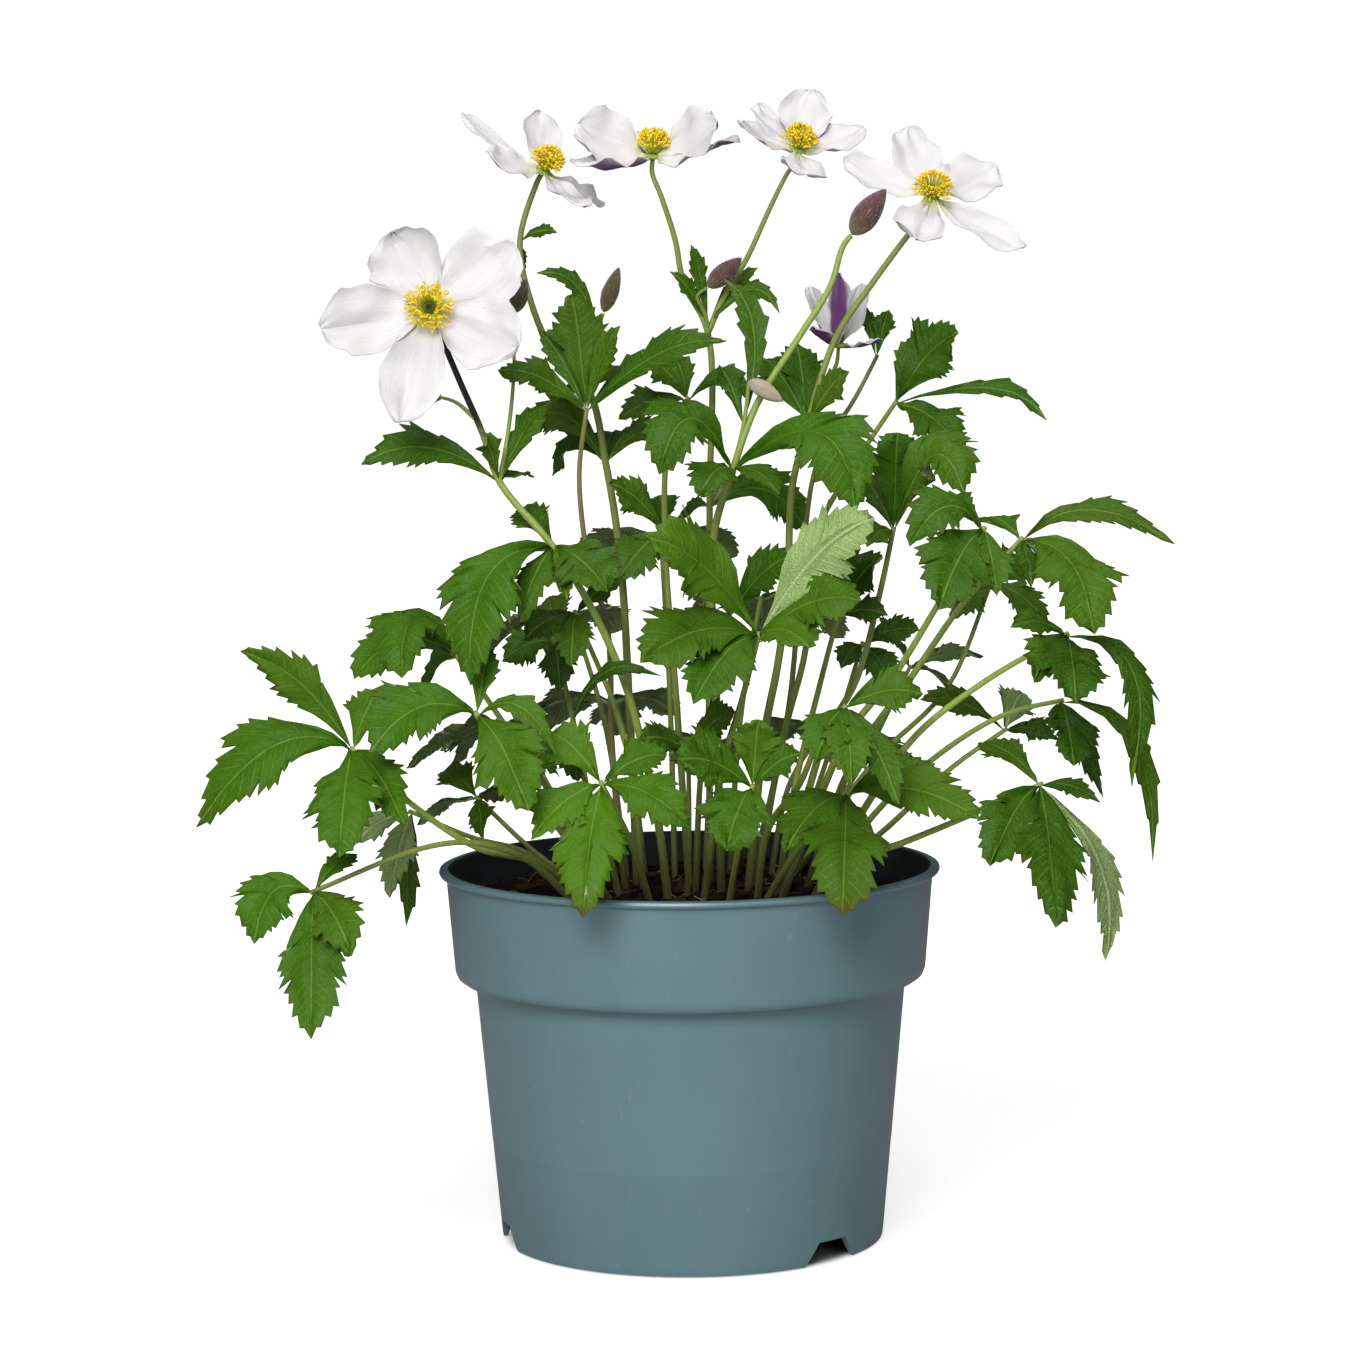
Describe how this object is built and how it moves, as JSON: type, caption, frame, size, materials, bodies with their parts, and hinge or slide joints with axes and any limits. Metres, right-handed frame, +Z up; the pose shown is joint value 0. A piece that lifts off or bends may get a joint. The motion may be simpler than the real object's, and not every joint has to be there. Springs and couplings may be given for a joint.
{
  "type": "potted japanese anemone",
  "caption": "Japanese anemone with white flowers, buds and cut leaves on branching stems, growing from soil in a round tapered plant pot with a wide collar and a notched foot.",
  "frame": {"origin": "middle of the pot's foot, on the surface the pot stands on", "axes": "+Z up, +X to the viewer's right in the front view, -Y towards the front"},
  "size_m": [0.3556, 0.2305, 0.4343],
  "materials": {
    "pot": "satin",
    "soil": "matte",
    "stem": "satin",
    "leaf": "satin",
    "petal": "matte",
    "stamen": "matte",
    "bud": "matte"
  },
  "bodies": {
    "root": {"pot": "pot", "soil": "soil", "flower_stem_1": "stem", "flower_stem_2": "stem", "flower_stem_3": "stem", "flower_stem_4": "stem", "flower_stem_5": "stem", "flower_stem_6": "stem", "flower_stem_7": "stem", "flower_stem_8": "stem", "flower_stem_9": "stem", "leaf_back_1": "leaf", "leaf_back_2": "leaf", "leaf_back_3": "leaf", "leaf_back_4": "leaf", "leaf_back_5": "leaf", "leaf_back_6": "leaf", "leaf_back_7": "leaf", "leaf_centre_1": "leaf", "leaf_centre_2": "leaf", "leaf_centre_3": "leaf", "leaf_centre_4": "leaf", "leaf_centre_5": "leaf", "leaf_centre_6": "leaf", "leaf_centre_7": "leaf", "leaf_left_1": "leaf", "leaf_left_2": "leaf", "leaf_left_3": "leaf", "leaf_left_4": "leaf", "leaf_left_5": "leaf", "leaf_left_6": "leaf", "leaf_left_7": "leaf", "leaf_left_8": "leaf", "leaf_left_9": "leaf", "leaf_right_1": "leaf", "leaf_right_10": "leaf", "leaf_right_11": "leaf", "leaf_right_2": "leaf", "leaf_right_3": "leaf", "leaf_right_4": "leaf", "leaf_right_5": "leaf", "leaf_right_6": "leaf", "leaf_right_7": "leaf", "leaf_right_8": "leaf", "leaf_right_9": "leaf", "petals_1": "petal", "petals_2": "petal", "petals_3": "petal", "petals_4": "petal", "petals_5": "petal", "petals_6": "petal", "stamens_1": "stamen", "stamens_2": "stamen", "stamens_3": "stamen", "stamens_4": "stamen", "stamens_5": "stamen", "stamens_6": "stamen", "bud_1": "bud", "bud_2": "bud", "bud_3": "bud"}
  },
  "joints": []
}
